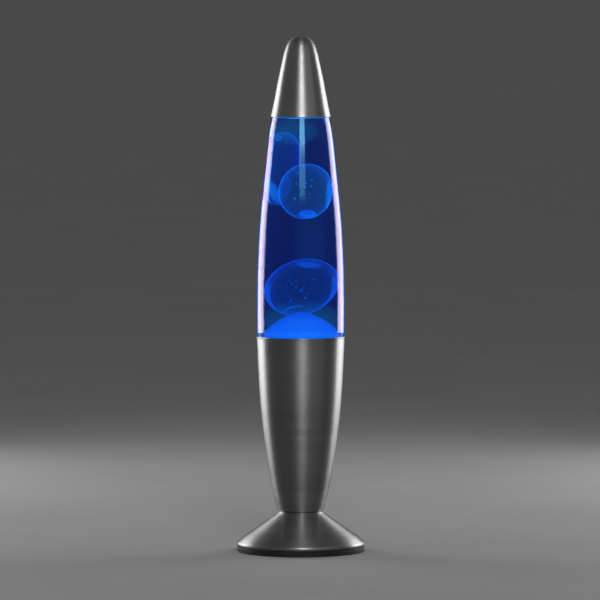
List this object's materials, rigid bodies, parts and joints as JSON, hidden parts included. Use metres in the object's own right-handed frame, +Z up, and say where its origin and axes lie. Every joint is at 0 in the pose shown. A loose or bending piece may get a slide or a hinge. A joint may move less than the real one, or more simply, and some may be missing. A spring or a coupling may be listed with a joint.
{
  "type": "lava lamp",
  "caption": "Rocket-shaped motion lamp: glass bottle of blue liquid and wax in a spun aluminium body on a flared round foot, with a pointed cap.",
  "frame": {"origin": "centre of the rubber ring that the lamp stands on, at table level", "axes": "+Z up along the lamp's axis, the cord bushing at the back on +Y, the front faces -Y, +X to the viewer's right"},
  "size_m": [0.0844, 0.0844, 0.34],
  "materials": {
    "spun_aluminium": "satin",
    "pad_rubber": "matte",
    "base_board": "matte",
    "cast_weight": "matte",
    "plated_steel": "satin",
    "black_plastic": "satin",
    "bakelite": "satin",
    "brass": "satin",
    "spring_steel": "satin",
    "bulb_clear_glass": "gloss",
    "bulb_black_glass": "gloss",
    "bottle_glass": "gloss",
    "blue_liquid": "gloss",
    "wax": "satin",
    "crown_tinplate": "satin",
    "liner_plastic": "matte"
  },
  "bodies": {
    "base": {"foot_pad": "pad_rubber", "foot_shell": "spun_aluminium", "foot_weight": "cast_weight", "base_plate": "base_board", "base_plate_screws": "plated_steel", "cord_bushing": "black_plastic", "threaded_rod": "plated_steel", "rod_nuts": "plated_steel", "lock_washers": "spring_steel", "earth_tag": "brass", "body_shell": "spun_aluminium", "holder_body": "bakelite", "holder_sleeve": "brass", "holder_terminals": "brass", "terminal_screws": "plated_steel", "contact_spring": "spring_steel"},
    "contact": {"contact_plunger": "brass"},
    "bulb": {"bulb_glass": "bulb_clear_glass", "bulb_screw_cap": "brass", "bulb_insulator": "bulb_black_glass", "bulb_contact": "plated_steel", "bulb_stem": "bulb_clear_glass", "bulb_lead_wires": "plated_steel", "bulb_filament": "spring_steel"},
    "bottle": {"glass_bottle": "bottle_glass", "liquid": "blue_liquid", "wax_mound": "wax", "wax_blob_lower": "wax", "wax_blob_front": "wax", "wax_blob_rear": "wax", "wax_droplets": "wax", "wire_coil": "plated_steel", "crown_cap": "crown_tinplate", "crown_liner": "liner_plastic"},
    "cap": {"top_cap": "spun_aluminium"}
  },
  "joints": [
    {"name": "contact_travel", "type": "slide", "parent": "base", "child": "contact", "axis": [0, 0, 1], "range_m": [0, 0.0029], "deforming": ["contact_spring"]},
    {"name": "bulb_turn", "type": "hinge", "parent": "contact", "child": "bulb", "pos_m": [0, 0, 0.0464], "axis": [0, 0, 1], "range_deg": [0, 360]},
    {"name": "bottle_lift", "type": "slide", "parent": "base", "child": "bottle", "axis": [0, 0, 1], "range_m": [0, 0.1]},
    {"name": "cap_lift", "type": "slide", "parent": "bottle", "child": "cap", "axis": [0, 0, 1], "range_m": [0, 0.06]}
  ],
  "couplings": [
    {"joint": "contact_travel", "follows": "bulb_turn", "m_per_rad": 0.00044914}
  ]
}
